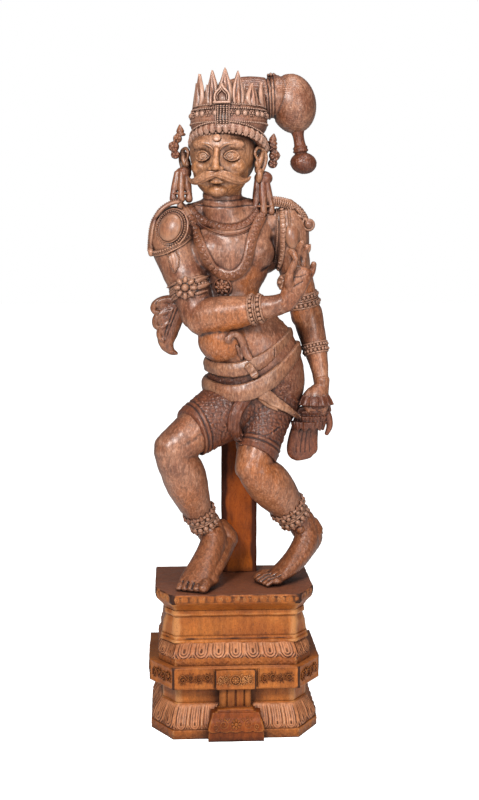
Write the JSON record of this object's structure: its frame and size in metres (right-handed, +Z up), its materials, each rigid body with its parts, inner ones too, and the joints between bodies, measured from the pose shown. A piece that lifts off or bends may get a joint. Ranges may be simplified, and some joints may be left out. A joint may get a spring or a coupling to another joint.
{
  "type": "shiva figure",
  "caption": "Carved wooden temple figure in a dancing step, crowned and jewelled, backed by a post on a stepped plinth with lotus courses.",
  "frame": {"origin": "on the plinth's underside, on the floor, below the middle of its width", "axes": "+Z up; the figure faces -Y; +X is towards the figure's own left side"},
  "size_m": [0.5046, 0.3625, 1.77],
  "materials": {
    "plinth_wood": "stained and waxed carved wood, orange brown with dark recesses",
    "post_wood": "stained sawn wood, upright grain, orange brown",
    "figure_wood": "stained and waxed carved wood, satin, tan brown with dark recesses"
  },
  "bodies": {
    "root": {"plinth": "plinth_wood", "support_post": "post_wood", "figure": "figure_wood"}
  },
  "joints": []
}
